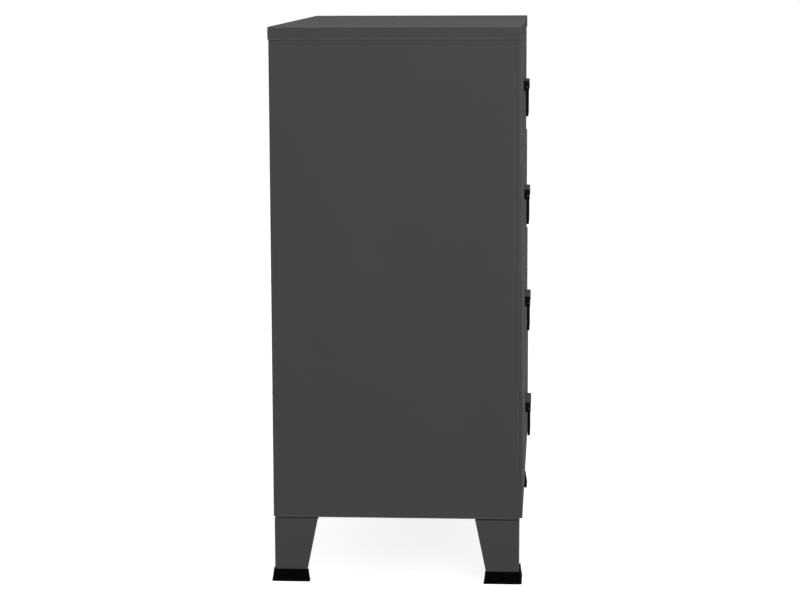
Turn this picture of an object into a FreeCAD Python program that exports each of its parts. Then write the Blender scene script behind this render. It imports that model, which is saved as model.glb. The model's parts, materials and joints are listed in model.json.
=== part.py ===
import FreeCAD, Part
import os
import Sketcher
from FreeCAD import Rotation, Vector

# A free-standing steel cabinet with four drawers on roller runners.
# +X is the width, the drawers face -Y, +Z is up.
# The origin lies on the floor, under the middle of the whole cabinet. All sizes are millimetres.

SIZES = {
    # Whole cabinet
    "cabinet_width": 780.0,
    "lid_depth": 415.0,
    "cabinet_height": 930.0,
    "body_lift": 111.0,
    # Lid, a shallow tray turned upside down over the body
    "lid_drop": 21.0,
    "lid_gauge": 1.0,
    "lid_play": 0.3,
    "lid_round": 2.0,
    # Side panels, folded at the front into a narrow edge, a pocket and a post, and below into a flange
    "panel_gauge": 1.0,
    "panel_round": 1.8,
    "edge_width": 3.0,
    "pocket_depth": 15.0,
    "post_width": 22.0,
    "post_return": 14.0,
    "foot_flange": 16.0,
    # Floor and back of the body
    "floor_gauge": 2.0,
    "floor_inset": 8.0,
    "floor_lip": 10.0,
    "back_gauge": 1.0,
    "back_inset": 2.0,
    # Rails between the posts
    "rail_height": 16.0,
    "rail_depth": 24.0,
    "rail_gauge": 1.2,
    "fascia_setback": 1.0,
    "fascia_gap": 2.3,
    # Rows of drawers, which share the height between the strip under the lid and the skirt
    "top_strip": 5.6,
    "skirt": 19.2,
    "skirt_clear": 0.6,
    "front_gap": 2.6,
    "side_gap": 1.2,
    "proud_first": 0.3,
    "proud_step": 1.8,
    # Drawer fronts, pressed pans with a folded-in lip
    "front_depth": 14.0,
    "front_gauge": 1.2,
    "front_round": 2.5,
    "lip_gauge": 1.0,
    "lip_overlap": 6.0,
    # Drawer boxes
    "box_room": 12.5,
    "box_rear_room": 45.4,
    "box_lift": 14.0,
    "box_headroom": 29.3,
    "box_gauge": 1.0,
    "hem_height": 9.0,
    # Roller runners, whose length leaves the travel of a drawer
    "runner_gauge": 1.2,
    "channel_height": 26.0,
    "channel_reach": 9.0,
    "channel_lip": 3.0,
    "runner_back_room": 24.0,
    "slider_height": 18.0,
    "slider_reach": 8.6,
    "slider_tail": 14.0,
    "slider_rear_room": 33.4,
    "roller_radius": 9.0,
    "roller_width": 6.0,
    "roller_setback": 32.0,
    "roller_play": 0.3,
    "roller_side_play": 0.6,
    "axle_radius": 2.5,
    "axle_play": 0.08,
    "rivet_radius": 4.0,
    "rivet_head": 1.0,
    "tread_groove": 0.6,
    # Legs
    "leg_top_width": 73.5,
    "leg_foot_width": 55.5,
    "leg_gauge": 2.0,
    "leg_side_inset": 1.5,
    "leg_rear_inset": 2.5,
    "leg_round": 2.5,
    # Shoes under the legs
    "shoe_height": 20.5,
    "shoe_floor": 3.0,
    "shoe_lip": 2.4,
    "shoe_flare": 2.8,
    "shoe_wall": 2.4,
    "shoe_inner_lip": 1.4,
    "shoe_inner_flare": 2.4,
    "shoe_corner": 2.0,
    "shoe_fit": 0.2,
    # Handle brackets
    "bracket_width": 95.0,
    "bracket_height": 18.5,
    "bracket_reach": 10.0,
    "bracket_back": 2.0,
    "bracket_hood": 8.2,
    "bracket_round": 2.0,
    "lug_width": 8.0,
    "bracket_rise": 96.0,
    # Bails, the drop handles
    "bail_play": 0.5,
    "bail_thick": 4.8,
    "bail_arm": 5.0,
    "bail_reach": 53.0,
    "bail_head": 1.8,
    "bail_corner": 9.0,
    "bail_edge_round": 1.6,
    "pivot_drop": 11.6,
    "pivot_reach": 6.3,
    "pin_radius": 1.5,
    "pin_sink": 0.3,
    "pin_play": 0.08,
    # Screws that hold the handles, from inside the front
    "handle_screw_radius": 2.0,
    "handle_screw_length": 5.0,
    "screw_end_play": 1.0,
    "handle_head_radius": 3.8,
    "handle_head_height": 2.4,
    "handle_screw_drop": 4.4,
    "screw_play": 0.08,
    # Screws of the back and the lid
    "panel_screw_radius": 2.0,
    "panel_screw_length": 8.0,
    "panel_head_radius": 4.0,
    "panel_head_height": 1.2,
    "panel_screw_margin": 11.0,
    # Bolts of the legs
    "leg_bolt_radius": 3.0,
    "leg_head_radius": 5.5,
    "leg_head_height": 4.0,
    "leg_nut_radius": 5.8,
    "leg_nut_height": 5.0,
    "leg_bolt_tail": 2.0,
    "leg_bolt_margin": 24.0,
    "socket_radius": 1.4,
    "socket_depth": 0.8,
    # One overrun for every cut that runs out of a piece
    "overrun": 2.0,
}
ROWS = 4
BACK_SCREWS = 5

doc = FreeCAD.newDocument("DrawerCabinet")
sheet = doc.addObject("Spreadsheet::Sheet", "Sizes")
for row, (alias, number) in enumerate(SIZES.items(), start=1):
    sheet.set(f"A{row}", alias)
    sheet.set(f"B{row}", str(number))
    sheet.setAlias(f"B{row}", alias)
doc.recompute()


class Size:
    """A length with the sheet expression that gives it, so that sums of sizes stay bound to the sheet."""

    def __init__(self, value, text):
        self.value = value
        self.text = text

    def __add__(self, other):
        other = as_size(other)
        return Size(self.value + other.value, f"({self.text} + {other.text})")

    def __radd__(self, other):
        return as_size(other) + self

    def __sub__(self, other):
        other = as_size(other)
        return Size(self.value - other.value, f"({self.text} - {other.text})")

    def __neg__(self):
        return Size(-self.value, f"(-1 * {self.text})")

    def __mul__(self, count):
        return Size(self.value * count, f"({self.text} * {count})")

    def __rmul__(self, count):
        return self * count

    def __truediv__(self, count):
        return Size(self.value / count, f"({self.text} / {count})")


ZERO = Size(0.0, "0")


def as_size(number):
    """A size as it is, and a plain zero as a size."""
    return number if isinstance(number, Size) else Size(float(number), str(number))


def size(alias):
    """The named size of the sheet."""
    return Size(float(sheet.get(alias)), f"Sizes.{alias}")


def bind(thing, prop, amount):
    """Ties a property of an object to a size."""
    thing.setExpression(prop, as_size(amount).text)


# Primitives

def place(thing, x, y, z):
    """Ties an object's position to three sizes."""
    bind(thing, "Placement.Base.x", x)
    bind(thing, "Placement.Base.y", y)
    bind(thing, "Placement.Base.z", z)
    return thing


TURNS = {
    "+X": Rotation(Vector(0, 1, 0), 90),
    "-X": Rotation(Vector(0, 1, 0), -90),
    "+Y": Rotation(Vector(1, 0, 0), -90),
    "-Y": Rotation(Vector(1, 0, 0), 90),
    "+Z": Rotation(),
    "-Z": Rotation(Vector(1, 0, 0), 180),
}


def rod(name, radius, length, toward, start):
    """A cylinder that runs from its start place toward one of the six directions."""
    cylinder = doc.addObject("Part::Cylinder", name)
    bind(cylinder, "Radius", radius)
    bind(cylinder, "Height", length)
    cylinder.Placement = FreeCAD.Placement(Vector(), TURNS[toward])
    return place(cylinder, *start)


def joined(name, pieces):
    """One solid of several touching pieces."""
    fuse = doc.addObject("Part::MultiFuse", name)
    fuse.Shapes = pieces
    fuse.Refine = True
    return fuse


def without(name, base, tools):
    """A piece less its cuts."""
    cut = doc.addObject("Part::Cut", name)
    cut.Base = base
    cut.Tool = tools[0] if len(tools) == 1 else joined(name + "_cuts", tools)
    cut.Refine = True
    return cut


def group(name, pieces):
    """Separate solids that share one node."""
    compound = doc.addObject("Part::Compound", name)
    compound.Links = pieces
    return compound


# Bodies with sketches

def new_body(name):
    """An empty body."""
    return doc.addObject("PartDesign::Body", name)


def origin_plane(body, role):
    """One of a body's own origin planes."""
    return next(item for item in body.Origin.OriginFeatures if item.Role == role)


def flat_sketch(body, role, level):
    """A sketch parallel to an origin plane, at a level along +X, +Y or +Z."""
    sketch = body.newObject("Sketcher::SketchObject", body.Name + "_sketch")
    sketch.AttachmentSupport = [(origin_plane(body, role), "")]
    sketch.MapMode = "FlatFace"
    level = as_size(level)
    bind(sketch, "AttachmentOffset.Base.z", -level if role == "XZ_Plane" else level)
    return sketch


def tie(sketch, kind, index, point, amount):
    """Ties one coordinate of a sketched point to a size."""
    number = sketch.addConstraint(Sketcher.Constraint(kind, -1, 1, index, point, amount.value))
    sketch.setExpression(f"Constraints[{number}]", amount.text)


def draw_polygon(sketch, points):
    """A closed outline through points, each a pair of sizes."""
    first = sketch.GeometryCount
    points = [(as_size(x), as_size(y)) for x, y in points]
    corners = [Vector(x.value, y.value) for x, y in points]
    for start, end in zip(corners, corners[1:] + corners[:1]):
        sketch.addGeometry(Part.LineSegment(start, end), False)
    count = len(points)
    for i in range(count):
        sketch.addConstraint(Sketcher.Constraint("Coincident", first + i, 2, first + (i + 1) % count, 1))
    for i, (x, y) in enumerate(points):
        tie(sketch, "DistanceX", first + i, 1, x)
        tie(sketch, "DistanceY", first + i, 1, y)


def extrude(body, kind, sketch, length):
    """A pad or a pocket from a sketch toward +X, +Y or +Z, with a check that it changed the body."""
    before = body.Shape.Volume if body.Tip else 0.0
    feature = body.newObject("PartDesign::" + kind, body.Name + "_" + kind)
    feature.Profile = sketch
    bind(feature, "Length", length)
    along_y = sketch.AttachmentSupport[0][0].Role == "XZ_Plane"
    feature.Reversed = along_y if kind == "Pad" else not along_y
    doc.recompute()
    if feature.Shape.isNull():
        raise ValueError(f"{feature.Name} has no shape")
    after = feature.Shape.Volume
    if (after <= before) if kind == "Pad" else (after >= before):
        raise ValueError(f"{feature.Name} changed nothing")
    return feature


def pad(body, role, level, length, points):
    """Adds a prism over a polygon."""
    sketch = flat_sketch(body, role, level)
    draw_polygon(sketch, points)
    return extrude(body, "Pad", sketch, length)


def pocket(body, role, level, length, points):
    """Cuts a prism over a polygon."""
    sketch = flat_sketch(body, role, level)
    draw_polygon(sketch, points)
    return extrude(body, "Pocket", sketch, length)


def rectangle(x, y):
    """The four corners of a rectangle from two pairs of sizes."""
    return [(x[0], y[0]), (x[1], y[0]), (x[1], y[1]), (x[0], y[1])]


def round_edges(body, radius, wanted):
    """Rounds the edges of a body's last feature that a test picks."""
    base = body.Tip
    names = [f"Edge{i}" for i, edge in enumerate(base.Shape.Edges, start=1) if wanted(edge)]
    if not names:
        raise ValueError(f"no edge of {body.Name} to round")
    fillet = body.newObject("PartDesign::Fillet", body.Name + "_Fillet")
    fillet.Base = (base, names)
    bind(fillet, "Radius", radius)
    doc.recompute()
    return fillet


SMALL = 1e-4


def straight_along(edge, axis):
    """True for a straight edge along one axis."""
    if not isinstance(edge.Curve, Part.Line):
        return False
    return abs(abs(getattr(edge.tangentAt(edge.FirstParameter), axis)) - 1) < SMALL


def at(edge, axis, place_along):
    """True for an edge whose middle lies at a place along one axis."""
    return abs(getattr(edge.CenterOfMass, axis) - as_size(place_along).value) < SMALL


# Shared places, each worked out from the sheet

gauge = size("panel_gauge")
overrun = size("overrun")
half_width = size("cabinet_width") / 2
side_plane = half_width - size("lid_gauge") - size("lid_play")
body_bottom = size("body_lift")
lid_bottom = size("cabinet_height") - size("lid_drop")
lid_inside = size("cabinet_height") - size("lid_gauge")

last_proud = size("proud_first") + size("proud_step") * (ROWS - 1)
lid_front_step = size("lid_gauge") + size("lid_play")
lid_rear_step = lid_front_step + size("back_gauge")
body_depth = size("lid_depth") - lid_front_step - lid_rear_step
front_out = last_proud + size("bracket_reach")
rear_out = lid_rear_step - size("leg_rear_inset") + size("shoe_lip") + size("shoe_flare")
front_plane = (front_out - rear_out - body_depth) / 2
rear_plane = front_plane + body_depth
post_face = front_plane + size("pocket_depth")
rail_front = post_face + gauge
post_inside = side_plane - size("post_width")
box_half = post_inside - size("box_room")
floor_top = body_bottom

row_pitch = (lid_bottom - size("top_strip") - body_bottom - size("skirt")) / ROWS
box_depth = body_depth - size("front_depth") - size("box_rear_room")
box_height = row_pitch - size("box_lift") - size("box_headroom")
stop_room = size("roller_radius") * 2 + size("slider_tail")
slider_reserve = stop_room + size("slider_tail") + size("slider_rear_room")
drawer_travel = body_depth - size("roller_setback") - slider_reserve
pin_length = size("lug_width") + size("bail_play") - size("pin_sink")


def row_base(row):
    """The lower edge of a row, the top row being 1."""
    return body_bottom + size("skirt") + row_pitch * (ROWS - row)


def face_plane(row):
    """The front face of a row's drawer: each row below the first stands a little prouder."""
    return front_plane - size("proud_first") - size("proud_step") * (row - 1)


parts = {}


# Lid

def make_lid():
    """The lid: a tray with rounded edges, open below."""
    body = new_body("top_panel")
    front = front_plane - lid_front_step
    rear = rear_plane + lid_rear_step
    wall = size("lid_gauge")
    plan = rectangle((-half_width, half_width), (front, rear))
    pad(body, "XY_Plane", lid_bottom, size("lid_drop"), plan)
    top = size("cabinet_height")
    round_edges(body, size("lid_round"), lambda edge: straight_along(edge, "z") or at(edge, "z", top))
    hollow = rectangle((wall - half_width, half_width - wall), (front + wall, rear - wall))
    pocket(body, "XY_Plane", lid_bottom, size("lid_drop") - wall, hollow)
    return body


# Side panels

def make_side(name, side):
    """A side panel of one sheet: edge, pocket wall and post in front, a plain post behind, a flange below."""
    def across(inward):
        return (side_plane - inward) * side

    def deep(back):
        return front_plane + back

    edge = size("edge_width")
    reach = size("post_width")
    pocket_back = size("pocket_depth")
    front_end = pocket_back + gauge + size("post_return")
    rear_start = body_depth - gauge - size("post_return")
    outline = [
        (across(ZERO), deep(ZERO)),
        (across(edge), deep(ZERO)),
        (across(edge), deep(pocket_back)),
        (across(reach), deep(pocket_back)),
        (across(reach), deep(front_end)),
        (across(reach - gauge), deep(front_end)),
        (across(reach - gauge), deep(pocket_back + gauge)),
        (across(edge - gauge), deep(pocket_back + gauge)),
        (across(edge - gauge), deep(gauge)),
        (across(gauge), deep(gauge)),
        (across(gauge), deep(body_depth - gauge)),
        (across(reach - gauge), deep(body_depth - gauge)),
        (across(reach - gauge), deep(rear_start)),
        (across(reach), deep(rear_start)),
        (across(reach), deep(body_depth)),
        (across(ZERO), deep(body_depth)),
    ]
    body = new_body(name)
    pad(body, "XY_Plane", floor_top, lid_inside - floor_top, outline)

    def is_fold(edge, inward):
        ends = at(edge, "y", deep(inward)) or at(edge, "y", deep(body_depth - inward))
        return straight_along(edge, "z") and at(edge, "x", across(inward)) and ends

    round_edges(body, size("panel_round"), lambda edge: is_fold(edge, ZERO))
    round_edges(body, size("panel_round") - gauge, lambda edge: is_fold(edge, gauge))
    flange = rectangle((across(gauge), across(size("foot_flange"))), (deep(front_end), deep(rear_start)))
    pad(body, "XY_Plane", floor_top, gauge, flange)
    return body


# Floor, back and rails

def make_floor():
    """The floor of the body: a flat sheet under the side panels, its front and rear lips turned up."""
    thick = size("floor_gauge")
    inset = size("floor_inset")
    half = side_plane - inset
    lip_half = post_inside - size("lip_gauge")
    body = new_body("bottom_panel")
    plan = rectangle((-half, half), (front_plane + inset, rear_plane))
    pad(body, "XY_Plane", floor_top - thick, thick, plan)
    for start in (rail_front, rear_plane - thick):
        lip = rectangle((-lip_half, lip_half), (start, start + thick))
        pad(body, "XY_Plane", floor_top, size("floor_lip"), lip)
    radius = size("leg_bolt_radius") + size("screw_play")
    low = floor_top - thick - overrun
    holes = [rod("floor_hole", radius, thick + overrun * 2, "+Z", (x, y, low)) for x, y in leg_bolt_places()]
    return without("bottom_panel_drilled", body, holes)


def make_back():
    """The back: a flat sheet on the rear posts, screwed from behind."""
    half = side_plane - size("back_inset")
    thick = size("back_gauge")
    body = new_body("back_panel")
    pad(body, "XZ_Plane", rear_plane, thick, rectangle((-half, half), (floor_top, lid_inside)))
    return body


def make_top_rail():
    """The top rail: a face that fills the strip under the lid, and a flange between the posts."""
    drawer_low, drawer_high = front_span(1)
    low = drawer_high + size("fascia_gap")
    face = front_plane + size("fascia_setback")
    wall = size("rail_gauge")
    wide = side_plane - size("edge_width")
    rear = rail_front + size("rail_depth")
    body = new_body("top_rail")
    pad(body, "XZ_Plane", face, wall, rectangle((-wide, wide), (low, lid_inside)))
    pad(body, "XY_Plane", low, wall, [
        (-wide, face), (wide, face), (wide, post_face), (post_inside, post_face),
        (post_inside, rear), (-post_inside, rear), (-post_inside, post_face), (-wide, post_face),
    ])
    return body


def make_divider(row):
    """The rail between a row and the row below it, a channel open to the rear."""
    wall = size("rail_gauge")
    low = row_base(row) - size("rail_height") / 2
    high = low + size("rail_height")
    front = rail_front
    rear = rail_front + size("rail_depth")
    body = new_body(f"divider_rail_{row}")
    pad(body, "YZ_Plane", -post_inside, post_inside * 2, [
        (front, low), (rear, low), (rear, low + wall), (front + wall, low + wall),
        (front + wall, high - wall), (rear, high - wall), (rear, high), (front, high),
    ])
    return body


# Legs and shoes

def leg_corner(side, end):
    """The outer corner of a leg: end is -1 at the front, 1 at the rear."""
    x = (side_plane - size("leg_side_inset")) * side
    y = front_plane if end < 0 else rear_plane + lid_rear_step - size("leg_rear_inset")
    return x, y


def leg_bolt_places():
    """Two bolts for each leg, on the diagonal of its top plate."""
    margin = size("leg_bolt_margin")
    places = []
    for side in (-1, 1):
        for end in (-1, 1):
            x, y = leg_corner(side, end)
            near = margin
            far = size("leg_top_width") - margin / 2
            places.append((x - near * side, y - far * end))
            places.append((x - far * side, y - near * end))
    return places


def leg_end_width():
    """The width of a leg wall at its lower end, inside the shoe, on the slope that it has above the shoe."""
    seen = floor_top - size("floor_gauge") - size("shoe_height")
    hidden_share = (size("shoe_height") - size("shoe_floor")).value / seen.value
    return size("leg_foot_width") - (size("leg_top_width") - size("leg_foot_width")) * hidden_share


def make_leg(name, side, end):
    """A leg folded from one sheet: a top plate and two tapered walls that meet at the outer corner."""
    x, y = leg_corner(side, end)
    top = floor_top - size("floor_gauge")
    foot = size("shoe_floor")
    thick = size("leg_gauge")
    wide = size("leg_top_width")
    narrow = leg_end_width()
    body = new_body(name)
    side_wall = [(y, top), (y - wide * end, top), (y - narrow * end, foot), (y, foot)]
    x_low = x - thick if side > 0 else x
    pad(body, "YZ_Plane", x_low, thick, side_wall)
    end_wall = [(x, top), (x - wide * side, top), (x - narrow * side, foot), (x, foot)]
    y_low = y - thick if end > 0 else y
    pad(body, "XZ_Plane", y_low, thick, end_wall)
    plate = [(x, y), (x - wide * side, y), (x - wide * side, y - wide * end), (x, y - wide * end)]
    pad(body, "XY_Plane", top - thick, thick, plate)

    def is_outer_fold(edge):
        corner = straight_along(edge, "z") and at(edge, "x", x) and at(edge, "y", y)
        side_fold = straight_along(edge, "y") and at(edge, "x", x)
        end_fold = straight_along(edge, "x") and at(edge, "y", y)
        return corner or at(edge, "z", top) and (side_fold or end_fold)

    round_edges(body, size("leg_round"), is_outer_fold)
    radius = size("leg_bolt_radius") + size("screw_play")
    low = top - thick - overrun
    holes = []
    for bolt_x, bolt_y in leg_bolt_places():
        near_x = abs((bolt_x - x).value) < wide.value
        near_y = abs((bolt_y - y).value) < wide.value
        if near_x and near_y:
            holes.append(rod(name + "_hole", radius, thick + overrun * 2, "+Z", (bolt_x, bolt_y, low)))
    return without(name + "_drilled", body, holes)


def angle_outline(corner, side, end, outward, inward, reach):
    """An L in plan with a cut outer corner, from its reach outward, its reach inward and its arms."""
    x, y = corner
    out_x, out_y = x + outward * side, y + outward * end
    in_x, in_y = x - inward * side, y - inward * end
    tip_x, tip_y = x - reach * side, y - reach * end
    cut_x, cut_y = out_x - size("shoe_corner") * side, out_y - size("shoe_corner") * end
    return [
        (cut_x, out_y), (tip_x, out_y), (tip_x, in_y), (in_x, in_y),
        (in_x, tip_y), (out_x, tip_y), (out_x, cut_y),
    ]


def make_shoe(name, side, end):
    """A shoe: a flared plastic angle with a slot for the leg's two walls."""
    x, y = leg_corner(side, end)
    lip = size("shoe_lip")
    wide = size("leg_foot_width")
    fit = size("shoe_fit")
    thick = size("leg_gauge") + fit
    inner = thick + size("shoe_wall")
    reach = wide + size("shoe_inner_lip")
    spread = size("shoe_inner_flare")
    body = new_body(name)
    sections = []
    levels = (
        (ZERO, lip + size("shoe_flare"), inner + spread, reach + spread),
        (size("shoe_height"), lip, inner, reach),
    )
    for level, outward, inward, arm_reach in levels:
        sketch = flat_sketch(body, "XY_Plane", level)
        draw_polygon(sketch, angle_outline((x, y), side, end, outward, inward, arm_reach))
        sections.append(sketch)
    loft = body.newObject("PartDesign::AdditiveLoft", name + "_loft")
    loft.Profile = sections[0]
    loft.Sections = sections[1:]
    loft.Ruled = True
    doc.recompute()
    far = wide + fit
    slot = [
        (x + fit * side, y + fit * end), (x - far * side, y + fit * end),
        (x - far * side, y - thick * end), (x - thick * side, y - thick * end),
        (x - thick * side, y - far * end), (x + fit * side, y - far * end),
    ]
    pocket(body, "XY_Plane", size("shoe_floor"), size("shoe_height"), slot)
    return body


# Drawer fronts and boxes

def front_span(row):
    """The lower and upper edge of a drawer front: the bottom one reaches down over the floor panel."""
    half_gap = size("front_gap") / 2
    base = row_base(row)
    low = body_bottom + size("skirt_clear") if row == ROWS else base + half_gap
    return low, base + row_pitch - half_gap


def bracket_places(row):
    """The top and bottom of a handle bracket, and the height and depth of its pivot."""
    bottom = row_base(row) + size("bracket_rise")
    top = bottom + size("bracket_height")
    return top, bottom, top - size("pivot_drop"), face_plane(row) - size("pivot_reach")


def handle_screw_x():
    """Each handle screw sits in the middle of a lug."""
    return (size("bracket_width") - size("lug_width")) / 2


def make_front(row):
    """A drawer front: a pressed pan with soft front edges and a lip folded in behind it."""
    low, high = front_span(row)
    half = side_plane - size("edge_width") - size("side_gap")
    face = face_plane(row)
    depth = size("front_depth")
    wall = size("front_gauge")
    lip = size("lip_gauge")
    overlap = size("lip_overlap")
    box_low = row_base(row) + size("box_lift")
    box_high = box_low + box_height
    body = new_body(f"drawer_front_{row}")
    pad(body, "XZ_Plane", face, depth, rectangle((-half, half), (low, high)))
    round_edges(body, size("front_round"), lambda edge: straight_along(edge, "y") or at(edge, "y", face))
    hollow = rectangle((wall - half, half - wall), (low + wall, high - wall))
    pocket(body, "XZ_Plane", face + wall, depth - wall - lip, hollow)
    opening_half = box_half - overlap
    opening = rectangle((-opening_half, opening_half), (box_low + overlap, box_high - overlap))
    pocket(body, "XZ_Plane", face + depth - lip - overrun, lip + overrun * 2, opening)
    top, bottom, pivot_z, pivot_y = bracket_places(row)
    radius = size("handle_screw_radius") + size("screw_play")
    holes = []
    for side in (-1, 1):
        start = (handle_screw_x() * side, face - overrun, top - size("handle_screw_drop"))
        holes.append(rod(f"front_hole_{row}", radius, wall + overrun * 2, "+Y", start))
    return without(f"drawer_front_{row}_drilled", body, holes)


def make_box(row):
    """A drawer box: a folded tray with hemmed top edges, behind its front."""
    start = face_plane(row) + size("front_depth")
    end = start + box_depth
    low = row_base(row) + size("box_lift")
    tall = box_height
    wall = size("box_gauge")
    hem = size("hem_height")
    body = new_body(f"drawer_box_{row}")
    pad(body, "XY_Plane", low, tall, rectangle((-box_half, box_half), (start, end)))
    rim = wall * 2
    mouth = rectangle((rim - box_half, box_half - rim), (start + rim, end - rim))
    pocket(body, "XY_Plane", low + wall, tall, mouth)
    hollow = rectangle((wall - box_half, box_half - wall), (start + wall, end - wall))
    pocket(body, "XY_Plane", low + wall, tall - wall - hem, hollow)
    return body


# Runners and rollers

def runner_levels(row):
    """The height of the runner's track, and of the axles of the front and rear rollers."""
    track = row_base(row) + size("box_lift") + size("runner_gauge")
    slider = track + size("roller_radius") * 2 + size("roller_play") * 4
    front_axle = slider - size("roller_play") - size("roller_radius")
    rear_axle = track + size("roller_play") + size("roller_radius")
    return track, slider, front_axle, rear_axle


def roller_places(row):
    """How far back the fixed front roller and the drawer's rear roller sit."""
    front = front_plane + size("roller_setback")
    rear = front + stop_room + drawer_travel + face_plane(row) - face_plane(1)
    return front, rear


def make_cabinet_runners(row):
    """The two fixed runners of a row: channels on the posts, each with the axle of its front roller."""
    track, slider, front_axle, rear_axle = runner_levels(row)
    roller_y, rear_y = roller_places(row)
    thick = size("runner_gauge")
    tall = size("channel_height")
    runners = []
    for side in (-1, 1):
        def across(inward):
            return (post_inside - inward) * side

        reach = thick + size("channel_reach")
        lip = size("channel_lip")
        profile = [
            (across(ZERO), track - thick), (across(reach), track - thick), (across(reach), track),
            (across(thick), track), (across(thick), track + tall), (across(reach), track + tall),
            (across(reach), track + tall - lip), (across(reach + thick), track + tall - lip),
            (across(reach + thick), track + tall + thick), (across(ZERO), track + tall + thick),
        ]
        name = f"fixed_runner_{row}_{'right' if side > 0 else 'left'}"
        body = new_body(name)
        start = rail_front + gauge
        pad(body, "XZ_Plane", start, rear_plane - size("runner_back_room") - start, profile)
        web = (post_inside - thick) * side
        toward = "-X" if side > 0 else "+X"
        gap = size("roller_side_play") * 2
        axle_length = size("roller_width") + gap
        axle = rod(name + "_axle", size("axle_radius"), axle_length, toward, (web, roller_y, front_axle))
        head_place = (web - axle_length * side, roller_y, front_axle)
        head = rod(name + "_head", size("rivet_radius"), size("rivet_head"), toward, head_place)
        runners.append(joined(name + "_riveted", [body, axle, head]))
    return group(f"cabinet_runners_{row}", runners)


def make_drawer_runners(row):
    """The two sliding runners of a row: angles on the box, each with the axle of its rear roller."""
    track, slider, front_axle, rear_axle = runner_levels(row)
    front_y, roller_y = roller_places(row)
    thick = size("runner_gauge")
    start = face_plane(row) + size("front_depth")
    runners = []
    for side in (-1, 1):
        def across(outward):
            return (box_half + outward) * side

        top = slider + thick
        foot = top - size("slider_height")
        reach = thick + size("slider_reach")
        profile = [
            (across(ZERO), top), (across(ZERO), foot), (across(thick), foot),
            (across(thick), slider), (across(reach), slider), (across(reach), top),
        ]
        name = f"sliding_runner_{row}_{'right' if side > 0 else 'left'}"
        body = new_body(name)
        pad(body, "XZ_Plane", start, roller_y + size("slider_tail") - start, profile)
        web = (box_half + thick) * side
        toward = "+X" if side > 0 else "-X"
        axle_length = size("roller_width") + size("roller_side_play") * 2
        axle = rod(name + "_axle", size("axle_radius"), axle_length, toward, (web, roller_y, rear_axle))
        head_place = (web + axle_length * side, roller_y, rear_axle)
        head = rod(name + "_head", size("rivet_radius"), size("rivet_head"), toward, head_place)
        runners.append(joined(name + "_riveted", [body, axle, head]))
    return group(f"drawer_runners_{row}", runners)


def make_rollers(name, inner_faces, y, z):
    """Two rollers on one line, each with a bore for its axle and a shallow ring sunk in one face."""
    radius = size("roller_radius")
    wide = size("roller_width")
    rollers = []
    for side, inner in zip((-1, 1), inner_faces):
        start = inner if side > 0 else inner - wide
        solid = rod(name + "_tyre", radius, wide, "+X", (start, y, z))
        bore_radius = size("axle_radius") + size("axle_play")
        bore = rod(name + "_bore", bore_radius, wide + overrun * 2, "+X", (start - overrun, y, z))
        groove = size("tread_groove")
        ring_start = start + wide - groove
        ring = rod(name + "_ring", radius - groove * 2, groove + overrun, "+X", (ring_start, y, z))
        boss_radius = size("rivet_radius") + groove
        boss_start = (ring_start - overrun / 2, y, z)
        boss = rod(name + "_boss", boss_radius, groove + overrun * 2, "+X", boss_start)
        dish = without(name + "_dish", ring, [boss])
        rollers.append(without(name + "_turned", solid, [bore, dish]))
    return group(name, rollers)


def make_front_rollers(row):
    """The fixed rollers, beside the web of the cabinet runners."""
    track, slider, front_axle, rear_axle = runner_levels(row)
    front_y, rear_y = roller_places(row)
    outer = post_inside - size("runner_gauge") - size("roller_side_play")
    inner = outer - size("roller_width")
    return make_rollers(f"front_rollers_{row}", (-inner, inner), front_y, front_axle)


def make_rear_rollers(row):
    """The drawer's own rollers, beside the web of the drawer runners."""
    track, slider, front_axle, rear_axle = runner_levels(row)
    front_y, rear_y = roller_places(row)
    inner = box_half + size("runner_gauge") + size("roller_side_play")
    return make_rollers(f"rear_rollers_{row}", (-inner, inner), rear_y, rear_axle)


# Handles

def make_bracket(row):
    """A handle bracket: a hooded block with a lug at each end, bored for the bail's pins and the screws."""
    top, bottom, pivot_z, pivot_y = bracket_places(row)
    face = face_plane(row)
    front = face - size("bracket_reach")
    half = size("bracket_width") / 2
    inner = half - size("lug_width")
    body = new_body(f"handle_bracket_{row}")
    pad(body, "XZ_Plane", front, size("bracket_reach"), rectangle((-half, half), (bottom, top)))
    round_edges(body, size("bracket_round"), lambda edge: straight_along(edge, "y") or at(edge, "y", front))
    room = size("bracket_reach") - size("bracket_back") + overrun
    recess = rectangle((-inner, inner), (bottom - overrun, top - size("bracket_hood")))
    pocket(body, "XZ_Plane", front - overrun, room, recess)
    bores = []
    for side in (-1, 1):
        toward = "+X" if side > 0 else "-X"
        pin_start = ((inner - overrun) * side, pivot_y, pivot_z)
        pin_radius = size("pin_radius") + size("pin_play")
        through = size("lug_width") + overrun * 2
        bores.append(rod(f"pin_bore_{row}", pin_radius, through, toward, pin_start))
        screw_start = (handle_screw_x() * side, face + overrun, top - size("handle_screw_drop"))
        screw_radius = size("handle_screw_radius") + size("screw_play")
        screw_depth = size("handle_screw_length") + size("screw_end_play") + overrun
        bores.append(rod(f"screw_bore_{row}", screw_radius, screw_depth, "-Y", screw_start))
    return without(f"handle_bracket_{row}_bored", body, bores)


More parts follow.
